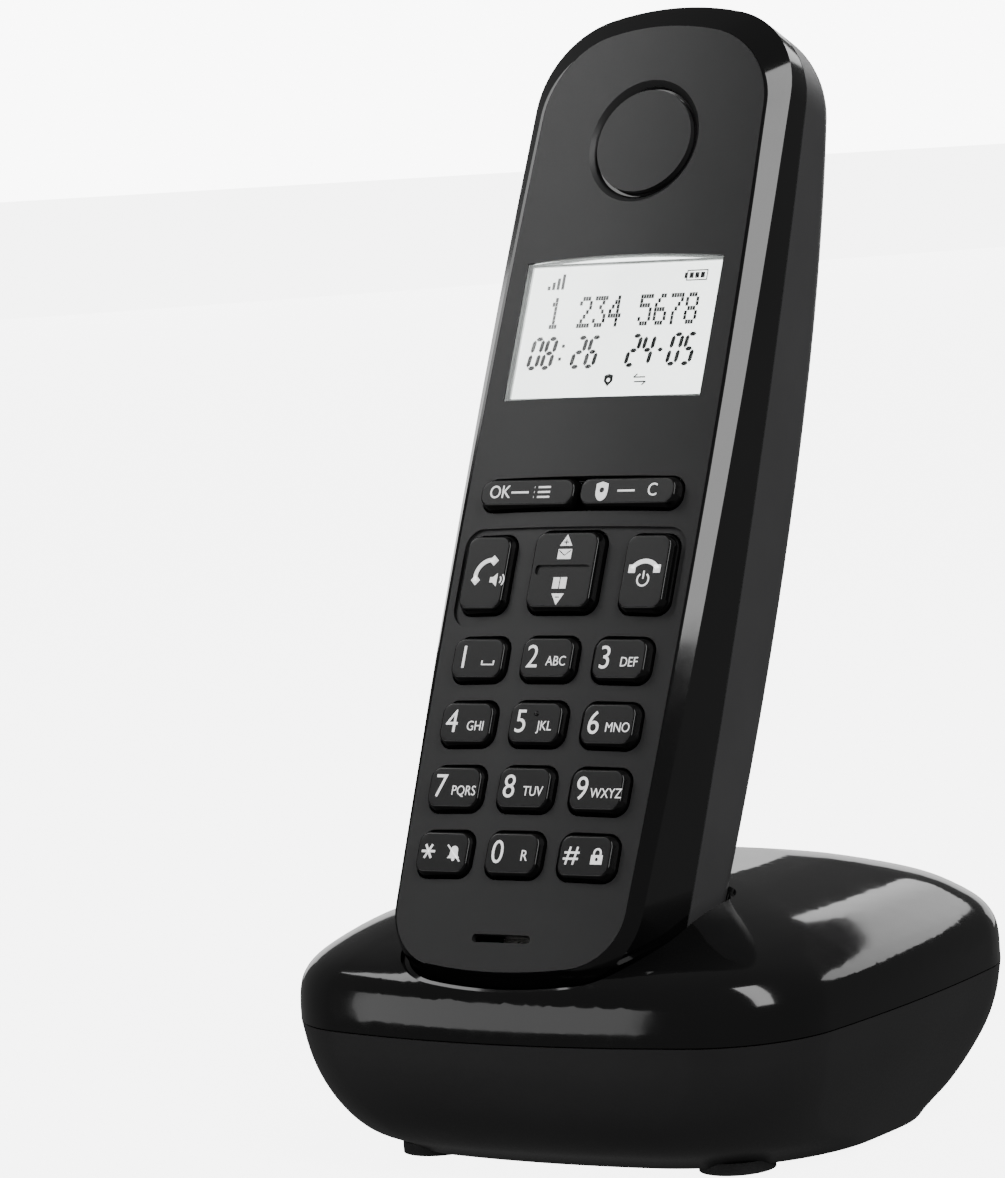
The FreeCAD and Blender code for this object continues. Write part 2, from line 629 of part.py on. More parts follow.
def keypad_mat():
    top = SIZE["mat_top"]
    mat = rounded_box(SIZE["mat_half"], SIZE["mat_low"], SIZE["mat_up"], top - SIZE["mat_thick"], top, 4)
    holes = [round_rod(SIZE["mat_hole"], x, y, top - 2, top + 2) for x, y in stem_places()]
    holes += [round_rod(3.2, x, y, top - 2, top + 2) for x, y in SCREWS]
    keep(made("mat_form", mat.cut(holes)), "keypad_mat", HANDSET)


def display():
    """Clear window, frame and liquid crystal module."""
    glass = display_hole(0)
    glass.translate(V3(0, 0, SIZE["glass_back"]))
    glass = glass.common(under_crown(SIZE["glass_sunk"]))
    keep(made("glass_form", glass), "display_window", HANDSET)
    outer = block("frame_outer", ("0.1 - glass_half", "glass_low + 0.1", "frame_back"),
                  ("2 * glass_half - 0.2", "glass_top - glass_low - 0.45", "glass_back - 0.05 - frame_back"))
    inner = block("frame_inner", ("-1 * view_half", "view_low", "frame_back - 1"),
                  ("2 * view_half", "view_top - view_low", "4"))
    keep(cut("frame_cut", outer, inner), "display_frame", HANDSET)
    step = block("lcd_step", ("-1 * view_half - 0.4", "view_low - 0.4", "frame_back - 1.35"),
                 ("2 * view_half + 0.8", "view_top - view_low + 0.8", "1.3"))
    body = block("lcd_body", ("-18.4", "84.8", "board_top + 0.1"), ("36.8", "28", "2.6"))
    keep(join("lcd_join", [step, body]), "lcd_module", HANDSET)


def sound():
    """Earpiece capsule, rear ringer and microphone."""
    capsule = rod("capsule", "ear_radius - 0.5", "2.9", ("0", "ear_up", "board_top + 0.1"))
    rim = rod("capsule_rim", "ear_radius", "1.2", ("0", "ear_up", "board_top + 0.1"))
    keep(join("capsule_join", [capsule, rim]), "earpiece_speaker", HANDSET)
    magnet = rod("ringer_magnet", "5.5", "3.4", ("0", "ear_up - 1", "board_top - board_thick - 4.6"))
    basket = rod("ringer_basket", "7.5", "1.2", ("0", "ear_up - 1", "board_top - board_thick - 1.3"))
    keep(join("ringer_join", [magnet, basket]), "ringer_speaker", HANDSET)
    keep(join("mic_join", [rod("mic_can", "2.2", "2.0", ("0", "mic_up + 1", "board_top + 0.05")),
                           rod("mic_port", "0.8", "0.4", ("0", "mic_up + 1", "board_top + 2.0"))]),
         "microphone", HANDSET)


def radio():
    """Aerial strip and screening can on the circuit board."""
    foot = block("aerial_foot", ("-8", "139.4", "board_top + 0.02"), ("2", "3", "1.6"))
    strip = block("aerial_strip", ("-8", "139.4", "board_top + 1.5"), ("16", "3", "0.4"))
    keep(join("aerial_join", [foot, strip]), "handset_antenna", HANDSET)
    outer = block("can_outer", ("-10", "102", "board_top - board_thick - 2.2"), ("20", "15", "2.18"))
    inner = block("can_inner", ("-9.6", "102.4", "board_top - board_thick - 1.9"), ("19.2", "14.2", "3"))
    keep(cut("can_cut", outer, inner), "radio_shield", HANDSET)


def cells():
    """Two rechargeable cells with their tips, and the bay's contacts."""
    lie = FreeCAD.Rotation(TURN_X, -90)
    for side, word in ((-1, "left"), (1, "right")):
        across = f"{side} * cell_side"
        can_start = (across, "cell_low", "cell_depth")
        tip_start = (across, "cell_low + cell_long - 1.2", "cell_depth")
        can = rod(f"cell_can_{word}", "cell_radius", "cell_long - 1", can_start, lie)
        tip = rod(f"cell_tip_{word}", "1.9", "1.4", tip_start, lie)
        keep(join(f"cell_join_{word}", [can, tip]), f"battery_cell_{word}", HANDSET)
    parts = []
    for side in (-1, 1):
        across = f"{side} * cell_side"
        for low, word in (("bay_low + 0.05", "minus"), ("bay_top - 0.55", "plus")):
            start = (f"{across} - 4", low, "cell_depth - 3.5")
            parts.append(block(f"plate_{word}_{side + 1}", start, ("8", "0.5", "7")))
        parts.append(rod(f"spring_{side + 1}", "2.4", "3.2", (across, "bay_low + 0.5", "cell_depth"), lie))
        button_start = (across, "cell_low + cell_long + 0.4", "cell_depth")
        parts.append(rod(f"button_{side + 1}", "1.6", "3.2", button_start, lie))
    joined = [join("contact_a", [parts[0], parts[2]]), join("contact_b", [parts[1], parts[3]]),
              join("contact_c", [parts[4], parts[6]]), join("contact_d", [parts[5], parts[7]])]
    keep(group("contact_group", joined), "battery_contacts", HANDSET)


def charge_pads():
    """Two plated pads at the handset's foot."""
    pads = [block(f"pad_{side + 1}", (f"{side} * pad_side - 0.5 * pad_wide", "0.6", "pad_low"),
                  ("pad_wide", "3.2", "pad_tall")) for side in (-1, 1)]
    keep(group("pad_group", pads), "handset_charge_contacts", HANDSET)


def handset_screws():
    screws = []
    for number, (across, up) in enumerate(SCREWS):
        shaft = rod(f"shaft_{number}", "screw_radius", "9.0", (across, up, "-13"))
        head = rod(f"head_{number}", "screw_head", "1.2", (across, up, "-14.2"))
        slot = block(f"slot_{number}", (f"{across} - 1.2", f"{up} - 0.25", "-14.4"), ("2.4", "0.5", "0.8"))
        screws.append(cut(f"screw_{number}", join(f"blank_{number}", [shaft, head]), slot))
    keep(group("screw_group", screws), "handset_screws", HANDSET)


# ---- base -----------------------------------------------------------------------------------


def base_outline(inset, height, half=None, front=None, back=None):
    half = SIZE["base_half"] if half is None else half
    front = SIZE["base_front"] if front is None else front
    back = SIZE["base_back"] if back is None else back
    share = half / SIZE["base_half"]
    corner, end = SIZE["base_corner"] * share, SIZE["base_end_radius"] * share
    side = SIZE["base_side_radius"] * share
    return outline(half, side, (front + back) / 2, front, end, corner, back, end, corner, inset, height)


def lower_form(inset):
    """The tub, narrower towards its floor and undercut at its front and rear, drawn in by inset."""
    sections = []
    for height, side, end, corner in BODY_OF_BASE:
        half, front, back = SIZE["base_half"] - side, SIZE["base_front"] + end, SIZE["base_back"] - end
        sections.append(outline(half, SIZE["base_side_radius"], (front + back) / 2, front,
                                SIZE["base_end_radius"], corner, back, SIZE["base_end_radius"],
                                corner, inset, height))
    return Part.makeLoft(sections, True, False, False, LOFT_DEGREE)


def top_form(inset):
    """The domed top, closed by a flat crown, drawn in on every side by inset."""
    sections = []
    for height, half, front, back in TOP_OF_BASE:
        sections.append(base_outline(0, height, half - inset, front + inset, back - inset))
    form = Part.makeLoft(sections, True, False, False, LOFT_DEGREE)
    if inset:
        form.translate(V3(0, 0, -inset))
    return form


def cradle_space(grow):
    """The handset's foot with room to spare, carried forward out of the base."""
    back = SIZE["cradle_back"] - grow
    form = slab(named_outline("body", -SIZE["cradle_gap"] - grow), back, 40)
    rear = [edge for edge in form.Edges if edge.BoundBox.ZMax < back + 0.01]
    form = form.makeFillet(SIZE["cradle_corner"] + grow, rear)
    form.Placement = HANDSET
    return form


def blade_box(side, grow):
    half, thick = SIZE["blade_wide"] / 2 + grow, SIZE["blade_thick"] / 2 + grow
    middle = SIZE["pad_low"] + SIZE["pad_tall"] / 2
    across = side * SIZE["pad_side"]
    blade = box(across - half, across + half, -7, 0.35, middle - thick, middle + thick)
    blade.Placement = HANDSET
    return blade


def base_top():
    """Glossy domed top with the cradle that the handset stands in and a stepped rim round it."""
    wall, seam = SIZE["base_wall"], SIZE["base_seam"]
    outer = top_form(0)
    hollow = top_form(wall)
    shell = outer.cut([hollow, slab(base_outline(wall - 0.2, 0), seam - 6, seam + 1.7)])
    depth = slab(base_outline(3, 0), 8, seam + 2)
    cradle = cradle_space(SIZE["cradle_wall"]).common(outer.fuse(depth))
    shell = shell.fuse(cradle).cut(cradle_space(0)).removeSplitter()
    lip = SIZE["cradle_lip"]
    shell = shell.cut(cradle_space(lip).common(outer.cut(top_form(lip))))
    shell = shell.cut([blade_box(side, 0.15) for side in (-1, 1)])
    shell = shell.cut(finder_hole())
    keep(made("base_top_form", shell.removeSplitter()), "base_top_shell")


def finder_hole():
    """Hole for the finder key through the rear wall."""
    return Part.makeCylinder(SIZE["finder_radius"] + 0.25, 20, V3(0, 33, SIZE["finder_up"]), V3(0, 1, 0))


def jack_box(side, grow, mouth_reach):
    half, tall = SIZE["socket_wide"] / 2 + grow, SIZE["socket_tall"]
    low = SIZE["jack_low"] + (SIZE["jack_tall"] - tall) / 2
    across, mouth = side * SIZE["jack_side"], SIZE["jack_mouth"]
    return box(across - half, across + half, mouth - SIZE["socket_deep"], mouth + mouth_reach,
               low - grow, low + tall + grow)


FOOT_PLACES = [(-1, -1), (1, -1), (-1, 1), (1, 1)]
BASE_SCREWS = [(-24, -4), (24, -4), (0, 24)]


def base_bottom():
    """Satin lower tub with posts for its screws, foot wells and socket openings."""
    wall, seam = SIZE["base_wall"], SIZE["base_seam"]
    shell = lower_form(0).cut(lower_form(wall).common(box(-60, 60, -60, 60, SIZE["base_floor"] + wall, 60)))
    shell = shell.common(box(-60, 60, -60, 60, 0, seam - 0.2))
    lip = slab(base_outline(wall + 0.1, 0), seam - 3, seam + 1.4)
    lip = lip.cut(slab(base_outline(wall + 0.1 + SIZE["base_lip"], 0), seam - 4, seam + 2))
    root = slab(base_outline(wall - 0.8, 0), seam - 3, seam - 0.2)
    root = root.cut(slab(base_outline(wall + 0.1 + SIZE["base_lip"], 0), seam - 4, seam + 2))
    shell = shell.fuse([lip, root.common(lower_form(0.3))])
    for x, y in BASE_SCREWS:
        shell = shell.fuse(round_rod(3.2, x, y, 2.5, 10))
    holes = [round_rod(1.6, x, y, -1, 20) for x, y in BASE_SCREWS]
    holes += [round_rod(2.9, x, y, -1, 5) for x, y in BASE_SCREWS]
    well = SIZE["foot_thick"] + 0.8
    wells = [round_rod(SIZE["foot_radius"] + 0.1, x * SIZE["foot_side"], y * SIZE["foot_front"], 0, well)
             for x, y in FOOT_PLACES]
    shell = shell.cut(holes + wells)
    shell = shell.cut([jack_box(side, 0.8, 20).common(box(-60, 60, SIZE["jack_mouth"] + 0.05, 60, 0, 30))
                       for side in (-1, 1)])
    shell = shell.cut([jack_body_box(side, 0.15) for side in (-1, 1)] + [finder_hole()])
    keep(made("base_bottom_form", shell.removeSplitter()), "base_bottom_shell")


def jack_body_box(side, grow):
    half = SIZE["jack_wide"] / 2 + grow
    x, mouth = side * SIZE["jack_side"], SIZE["jack_mouth"]
    low = SIZE["jack_low"] - grow
    return box(x - half, x + half, mouth - SIZE["jack_deep"] - grow, mouth + grow, low,
               low + SIZE["jack_tall"] + 2 * grow)


def feet():
    places = [(x * SIZE["foot_side"], y * SIZE["foot_front"]) for x, y in FOOT_PLACES]
    pieces = [rod(f"foot_{i}", "foot_radius", "foot_thick + 0.75", (x, y, "0"))
              for i, (x, y) in enumerate(places)]
    keep(group("feet_group", pieces), "base_feet")


def jacks():
    for side, node in ((-1, "power_jack"), (1, "line_jack")):
        middle = f"{side} * jack_side"
        shell = block(node + "_case", (f"{middle} - 0.5 * jack_wide", "jack_mouth - jack_deep", "jack_low"),
                      ("jack_wide", "jack_deep", "jack_tall"))
        hole = block(node + "_hole", (f"{middle} - 0.5 * socket_wide", "jack_mouth - socket_deep",
                                      "jack_low + 0.5 * jack_tall - 0.5 * socket_tall"),
                     ("socket_wide", "socket_deep + 2", "socket_tall"))
        keep(cut(node + "_cut", shell, hole), node)


def base_board():
    board = slab(base_outline(17, 0), 14.4, 16.0).common(box(-60, 60, -5, 60, 0, 60))
    keep(made("base_board_form", board), "base_circuit_board")


def base_parts():
    """What the base's board carries, its contacts, screws and finder key."""
    cans = [rod(f"capacitor_{i}", "3.2", "8.5", (str(x), "17", "16.05"))
            for i, x in enumerate((-19, -11, 12.5))]
    keep(group("capacitor_group", cans), "base_capacitors")
    outer = block("base_can_outer", ("-6", "8", "16.05"), ("14", "14", "3.0"))
    inner = block("base_can_inner", ("-5.6", "8.4", "15"), ("13.2", "13.2", "3.7"))
    keep(cut("base_can_cut", outer, inner), "base_radio_shield")
    mast = block("base_aerial_mast", ("22", "4", "16.05"), ("0.6", "5", "8"))
    arm = block("base_aerial_arm", ("22", "4", "22"), ("0.6", "16", "2.05"))
    keep(join("base_aerial_join", [mast, arm]), "base_antenna")
    blades = [made(f"blade_{side + 1}", blade_shape(side)) for side in (-1, 1)]
    keep(group("blade_group", blades), "base_charge_contacts")
    screws = []
    for number, (x, y) in enumerate(BASE_SCREWS):
        shaft = rod(f"base_shaft_{number}", "1.25", "8", (x, y, "4.7"))
        head = rod(f"base_head_{number}", "2.6", "1.6", (x, y, "3.2"))
        slot = block(f"base_slot_{number}", (f"{x} - 1.6", f"{y} - 0.3", "3"), ("3.2", "0.6", "1.1"))
        screws.append(cut(f"base_screw_{number}", join(f"base_blank_{number}", [shaft, head]), slot))
    keep(group("base_screw_group", screws), "base_screws")


def blade_shape(side):
    half, thick = SIZE["blade_wide"] / 2, SIZE["blade_thick"] / 2
    middle = SIZE["pad_low"] + SIZE["pad_tall"] / 2
    x = side * SIZE["pad_side"]
    blade = box(x - half, x + half, -6, 0.35, middle - thick, middle + thick)
    foot = box(x - half, x + half, -6, -5.2, middle - thick, middle + 2.4)
    shape = blade.fuse(foot).removeSplitter()
    return shape.transformGeometry(HANDSET.toMatrix())


def finder_key():
    """Round key in the rear of the base that makes the handset ring, and its switch."""
    turn = FreeCAD.Rotation(TURN_X, -90)
    start = ("0", "finder_out - finder_long", "finder_up")
    cap = rod("finder_cap", "finder_radius", "finder_long", start, turn)
    rim = rod("finder_rim", "finder_flange", "1", start, turn)
    keep(join("finder_join", [cap, rim]), "paging_key")
    case = block("finder_case", ("-3", "finder_out - finder_long - 5.4", "finder_up - 3"), ("6", "3", "6"))
    plunger = rod("finder_plunger", "1.2", "1.2", ("0", "finder_out - finder_long - 2.5", "finder_up"), turn)
    legs = block("finder_legs", ("-2.5", "finder_out - finder_long - 5.2", "16.05"), ("5", "1.2", "7.2"))
    keep(join("finder_switch_join", [case, plunger, legs]), "paging_switch")


front_shell()
face_plate()
ear_cap()
back_shell()
battery_cover()
keys()
handset_board()
dome_sheet()
keypad_mat()
display()
sound()
radio()
cells()
charge_pads()
handset_screws()
base_top()
base_bottom()
feet()
jacks()
base_board()
base_parts()
finder_key()
doc.recompute()

for item in doc.Objects:
    if "Invalid" in item.State or "Error" in item.State:
        raise RuntimeError(f"{item.Name} did not build: {item.State}")
for node in NODES:
    if node.Shape.isNull() or not node.Shape.isValid() or not node.Shape.Solids:
        raise RuntimeError(f"{node.Label} has no sound solid")
    node.Shape.exportStep(f"parts/{node.Label}.step")
    print(node.Label, len(node.Shape.Solids), round(node.Shape.Volume, 1))
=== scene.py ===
import bmesh
import bpy
import json
import math
from mathutils import Matrix, Vector


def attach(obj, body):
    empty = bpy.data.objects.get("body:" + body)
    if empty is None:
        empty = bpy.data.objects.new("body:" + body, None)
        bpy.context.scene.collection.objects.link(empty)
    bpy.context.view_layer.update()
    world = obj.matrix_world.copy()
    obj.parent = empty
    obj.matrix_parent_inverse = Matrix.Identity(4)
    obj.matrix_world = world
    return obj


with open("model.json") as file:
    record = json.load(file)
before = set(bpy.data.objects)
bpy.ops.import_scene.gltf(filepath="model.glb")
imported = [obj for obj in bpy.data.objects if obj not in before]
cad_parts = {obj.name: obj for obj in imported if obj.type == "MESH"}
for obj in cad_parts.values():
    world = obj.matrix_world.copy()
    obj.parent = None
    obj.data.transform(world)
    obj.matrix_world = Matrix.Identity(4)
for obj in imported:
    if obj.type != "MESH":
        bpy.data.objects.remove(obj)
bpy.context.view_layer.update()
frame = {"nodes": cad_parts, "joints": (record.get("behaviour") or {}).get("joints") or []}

MM = 0.001
NODES = frame["nodes"]
JOINTS = {joint["name"]: joint for joint in frame["joints"]}

# The handset's own frame: across it, up along it, and out of its face.
UP = Vector(JOINTS["handset_lift"]["axis"])
ACROSS = Vector((1, 0, 0))
OUT = ACROSS.cross(UP)
DOCK = Vector((0, -40.7, 29.4)) * MM
HANDSET = Matrix.Translation(DOCK) @ Matrix((ACROSS, UP, OUT)).transposed().to_4x4()
CROWN_RADIUS = 195.0
KEY_PROUD = 1.1
COLUMN_PITCH = 12.1
ROW_PITCH = 9.65
LAST_ROW = 18.65
SOFT_UP, SOFT_ACROSS = 72.7, 8.59
CALL_UP, CALL_ACROSS = 60.6, 13.7
NAV_UP = 60.8
EAR_UP = 127.4


def sag(across):
    """How far the crowned face has dropped at a distance from its middle, in mm."""
    return across**2 / (2 * CROWN_RADIUS)


# ---- materials ------------------------------------------------------------------------------

# How strongly the glowing finishes and the surroundings shine; the display's glow is partly its
# backlight and partly painted light, and the legends' glow is painted light.
DISPLAY_BACKLIGHT_AND_PAINTED_GLOW = 4.0
# Painted glow of the white legends.
LEGEND_PAINTED_GLOW = 0.9
FLOOR_GLOW = 6.0
SURROUND_GLOW = 0.12
BACKGROUND_GLOW = 9.0


class Finish:
    """A material with its shader and the object coordinates that its patterns follow."""

    def __init__(self, name, colour, roughness, **sockets):
        self.material = bpy.data.materials.new(name)
        self.material.use_nodes = True
        self.tree = self.material.node_tree
        self.shader = self.tree.nodes["Principled BSDF"]
        self.shader.inputs["Base Color"].default_value = (*colour, 1)
        self.shader.inputs["Roughness"].default_value = roughness
        for socket, number in sockets.items():
            self.shader.inputs[socket.replace("_", " ")].default_value = number
        self.coords = self.tree.nodes.new("ShaderNodeTexCoord")
        self.material.diffuse_color = (*colour, 1)

    def node(self, kind, links=(), **settings):
        made = self.tree.nodes.new(kind)
        for name, setting in settings.items():
            setattr(made, name, setting)
        for socket, source in dict(links).items():
            if isinstance(source, bpy.types.NodeSocket):
                self.tree.links.new(source, made.inputs[socket])
            else:
                made.inputs[socket].default_value = source
        return made

    def link(self, source, socket):
        self.tree.links.new(source, self.shader.inputs[socket])

    def noise(self, scale, detail=2.0, rough=0.5):
        return self.node("ShaderNodeTexNoise", {
            "Vector": self.coords.outputs["Object"], "Scale": scale, "Detail": detail,
            "Roughness": rough}).outputs["Fac"]

    def spread(self, source, low, high, start=0.3, end=0.7):
        """Maps a pattern's values to a range."""
        return self.node("ShaderNodeMapRange", {
            "Value": source, "From Min": start, "From Max": end, "To Min": low,
            "To Max": high}).outputs["Result"]

    def tint(self, source, dark, light):
        """Mixes two colours by a pattern."""
        ramp = self.node("ShaderNodeValToRGB", {"Fac": source})
        ramp.color_ramp.elements[0].color = (*dark, 1)
        ramp.color_ramp.elements[0].position = 0.3
        ramp.color_ramp.elements[1].color = (*light, 1)
        ramp.color_ramp.elements[1].position = 0.7
        self.link(ramp.outputs["Color"], "Base Color")
        return self

    def bump(self, source, strength, distance):
        bump = self.node("ShaderNodeBump", {"Height": source, "Strength": strength,
                                            "Distance": distance})
        self.link(bump.outputs["Normal"], "Normal")
        return self


def grey(level):
    return (level, level, level * 1.02)


def gloss_black():
    """Polished black moulding with faint handling haze."""
    finish = Finish("gloss_black", grey(0.006), 0.07, Specular_IOR_Level=0.5, Coat_Weight=0.25,
                    Coat_Roughness=0.04)
    haze = finish.noise(90, 5, 0.6)
    finish.link(finish.spread(haze, 0.05, 0.12), "Roughness")
    finish.tint(finish.noise(25), grey(0.005), grey(0.008))
    return finish.bump(finish.noise(160, 1), 0.05, 0.00002).material


def satin_face():
    """Fine spark-eroded texture of the face plate."""
    finish = Finish("satin_face", grey(0.03), 0.42, Specular_IOR_Level=0.5)
    grain = finish.noise(5200, 2, 0.6)
    finish.tint(finish.noise(60, 4), grey(0.03), grey(0.036))
    finish.link(finish.spread(grain, 0.36, 0.5), "Roughness")
    return finish.bump(grain, 0.12, 0.00003).material


def satin_shell(name, level, low, high):
    """Satin moulding of the rear shell and the base's tub."""
    finish = Finish(name, grey(level), (low + high) / 2, Specular_IOR_Level=0.5)
    grain = finish.noise(3600, 3, 0.6)
    finish.tint(finish.noise(45, 4), grey(level * 0.9), grey(level * 1.12))
    finish.link(finish.spread(grain, low, high), "Roughness")
    return finish.bump(grain, 0.1, 0.00003).material


def key_plastic():
    """Glossy key sides under a satin printed top."""
    finish = Finish("key_plastic", grey(0.008), 0.1, Specular_IOR_Level=0.5)
    facing = finish.node("ShaderNodeVectorMath", {0: finish.coords.outputs["Normal"], 1: OUT},
                         operation="DOT_PRODUCT").outputs["Value"]
    top = finish.spread(facing, 0.0, 1.0, 0.93, 0.995)
    grain = finish.spread(finish.noise(5000, 2), 0.28, 0.38)
    rough = finish.node("ShaderNodeMix", {"Factor": top, "A": 0.09, "B": grain}, data_type="FLOAT")
    finish.link(rough.outputs["Result"], "Roughness")
    return finish.tint(top, grey(0.005), grey(0.016)).material


def clear_window():
    """Thin hard-coated window: clear, with a faint reflection."""
    finish = Finish("clear_window", (0.9, 0.93, 0.93), 0.03, Specular_IOR_Level=0.5)
    clear = finish.node("ShaderNodeBsdfTransparent", {"Color": (0.97, 0.98, 0.98, 1)})
    gloss = finish.node("ShaderNodeBsdfGlossy", {"Color": (1, 1, 1, 1)})
    haze = finish.spread(finish.noise(120, 4), 0.02, 0.06)
    finish.tree.links.new(haze, gloss.inputs["Roughness"])
    edge = finish.node("ShaderNodeFresnel", {"IOR": 1.35})
    mix = finish.node("ShaderNodeMixShader", {0: edge.outputs[0], 1: clear.outputs[0],
                                              2: gloss.outputs[0]})
    out = finish.tree.nodes["Material Output"]
    finish.tree.links.new(mix.outputs[0], out.inputs["Surface"])
    return finish.material


def display_paper():
    """Reflector behind the liquid crystal, glowing evenly as if lit from its edges; the glow is
    partly backlight and partly painted light that brightens it.
    """
    finish = Finish("display_paper", (0.78, 0.79, 0.77), 0.6)
    finish.tint(finish.noise(900, 3), (0.74, 0.75, 0.74), (0.8, 0.81, 0.8))
    finish.shader.inputs["Emission Color"].default_value = (0.8, 0.82, 0.8, 1)
    # The emission is partly backlight and partly painted light that brightens the display.
    finish.shader.inputs["Emission Strength"].default_value = DISPLAY_BACKLIGHT_AND_PAINTED_GLOW
    return finish.material


def speckled(name, dark, light, roughness, scale=800, metallic=0.0):
    """A plain moulded or plated finish with a little unevenness."""
    finish = Finish(name, light, roughness, Metallic=metallic)
    pattern = finish.noise(scale, 3)
    finish.tint(pattern, dark, light)
    finish.link(finish.spread(pattern, roughness * 0.85, roughness * 1.15), "Roughness")
    return finish.bump(pattern, 0.08, 0.00003).material


def brushed(name, dark, light, roughness):
    """Metal with fine lines along one way."""
    finish = Finish(name, light, roughness, Metallic=1.0)
    turn = finish.node("ShaderNodeMapping", {"Vector": finish.coords.outputs["Object"],
                                             "Scale": (300, 9000, 9000)})
    lines = finish.node("ShaderNodeTexNoise", {"Vector": turn.outputs[0], "Scale": 1.0,
                                               "Detail": 2.0}).outputs["Fac"]
    finish.tint(lines, dark, light)
    finish.link(finish.spread(lines, roughness * 0.8, roughness * 1.3), "Roughness")
    return finish.bump(lines, 0.1, 0.00001).material


def pale_floor():
    """Matt white table that glows evenly."""
    finish = Finish("pale_floor", (0.86, 0.86, 0.86), 0.55)
    finish.tint(finish.noise(6, 3), (0.84, 0.84, 0.84), (0.88, 0.88, 0.88))
    finish.shader.inputs["Emission Color"].default_value = (1, 1, 1, 1)
    finish.shader.inputs["Emission Strength"].default_value = FLOOR_GLOW
    return finish.material


def legend_print():
    """White print with a painted glow that brightens it."""
    finish = Finish("legend_white", (0.88, 0.88, 0.88), 0.5)
    finish.tint(finish.noise(800, 3), (0.84, 0.84, 0.84), (0.9, 0.9, 0.9))
    finish.shader.inputs["Emission Color"].default_value = (1, 1, 1, 1)
    # Painted glow: the print is no lamp, and this emission only brightens it.
    finish.shader.inputs["Emission Strength"].default_value = LEGEND_PAINTED_GLOW
    return finish.material


FINISH = {
    "gloss_black": gloss_black(),
    "satin_face": satin_face(),
    "satin_back": satin_shell("satin_back", 0.075, 0.3, 0.4),
    "satin_tub": satin_shell("satin_tub", 0.03, 0.34, 0.46),
    "key_plastic": key_plastic(),
    "clear_window": clear_window(),
    "display_paper": display_paper(),
    "pale_frame": speckled("pale_frame", (0.5, 0.51, 0.5), (0.62, 0.63, 0.62), 0.4),
    "legend_white": legend_print(),
    "segment_black": speckled("segment_black", (0.008, 0.009, 0.01), (0.014, 0.015, 0.016), 0.6),
    "board_green": speckled("board_green", (0.015, 0.1, 0.045), (0.03, 0.16, 0.08), 0.35, 300),
    "silicone": speckled("silicone", (0.35, 0.35, 0.36), (0.42, 0.42, 0.43), 0.6),
    "foot_rubber": speckled("foot_rubber", grey(0.03), grey(0.045), 0.7),
    "dark_moulding": speckled("dark_moulding", grey(0.012), grey(0.02), 0.5),
    "cell_jacket": speckled("cell_jacket", (0.05, 0.22, 0.12), (0.08, 0.3, 0.17), 0.3, 120),
    "spring_steel": brushed("spring_steel", (0.45, 0.45, 0.44), (0.66, 0.65, 0.62), 0.28),
    "gold_plate": brushed("gold_plate", (0.65, 0.45, 0.16), (0.85, 0.63, 0.28), 0.22),
    "screw_steel": brushed("screw_steel", (0.35, 0.35, 0.35), (0.55, 0.55, 0.54), 0.3),
}

NODE_FINISH = {
    "handset_front_shell": "gloss_black", "base_top_shell": "gloss_black",
    "handset_face_plate": "satin_face", "earpiece_cap": "satin_face",
    "handset_back_shell": "satin_back", "battery_cover": "satin_back",
    "base_bottom_shell": "satin_tub", "display_window": "clear_window",
    "display_frame": "pale_frame", "lcd_module": "display_paper",
    "handset_circuit_board": "board_green", "base_circuit_board": "board_green",
    "key_dome_sheet": "spring_steel", "keypad_mat": "silicone", "base_feet": "foot_rubber",
    "earpiece_speaker": "dark_moulding", "ringer_speaker": "dark_moulding",
    "microphone": "spring_steel", "handset_antenna": "spring_steel",
    "radio_shield": "spring_steel", "base_radio_shield": "spring_steel",
    "base_antenna": "spring_steel", "battery_cell_left": "cell_jacket",
    "battery_cell_right": "cell_jacket", "battery_contacts": "spring_steel",
    "handset_charge_contacts": "gold_plate", "base_charge_contacts": "gold_plate",
    "handset_screws": "screw_steel", "base_screws": "screw_steel",
    "power_jack": "dark_moulding", "line_jack": "dark_moulding",
    "base_capacitors": "dark_moulding", "paging_switch": "dark_moulding",
}
CREASE = math.radians(24)


def dress(node):
    """Gives a CAD node its finish, with smooth curved faces and crisp edges."""
    piece = NODES[node]
    piece.data.materials.clear()
    piece.data.materials.append(FINISH[NODE_FINISH.get(node, "key_plastic")])
    custom = piece.data.attributes.get("custom_normal")
    if custom:
        piece.data.attributes.remove(custom)
    for face in piece.data.polygons:
        face.use_smooth = True
    weld = piece.modifiers.new("weld", "WELD")
    weld.merge_threshold = 0.000002
    split = piece.modifiers.new("crease", "EDGE_SPLIT")
    split.split_angle = CREASE
    split.use_edge_sharp = False
    normals = piece.modifiers.new("normals", "WEIGHTED_NORMAL")
    normals.mode = "FACE_AREA_WITH_ANGLE"
    normals.keep_sharp = False


# ---- printed legends and icons --------------------------------------------------------------


def mesh_from(curve, name):
    """A curve's or text's final mesh as a plain object at the origin."""
    holder = bpy.data.objects.new(name + "_curve", curve)
    bpy.context.scene.collection.objects.link(holder)
    bpy.context.view_layer.update()
    mesh = bpy.data.meshes.new_from_object(holder)
    bpy.data.objects.remove(holder)
    return mesh


def piece_from(meshes, name, finish, body):
    """Joins flat meshes into one piece that rides on a body."""
    whole = bmesh.new()
    for mesh in meshes:
        whole.from_mesh(mesh)
    bmesh.ops.remove_doubles(whole, verts=whole.verts, dist=1e-8)
    bmesh.ops.recalc_face_normals(whole, faces=whole.faces)
    mesh = bpy.data.meshes.new(name)
    whole.to_mesh(mesh)
    whole.free()
    piece = bpy.data.objects.new(name, mesh)
    bpy.context.scene.collection.objects.link(piece)
    mesh.materials.append(FINISH[finish])
    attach(piece, body)


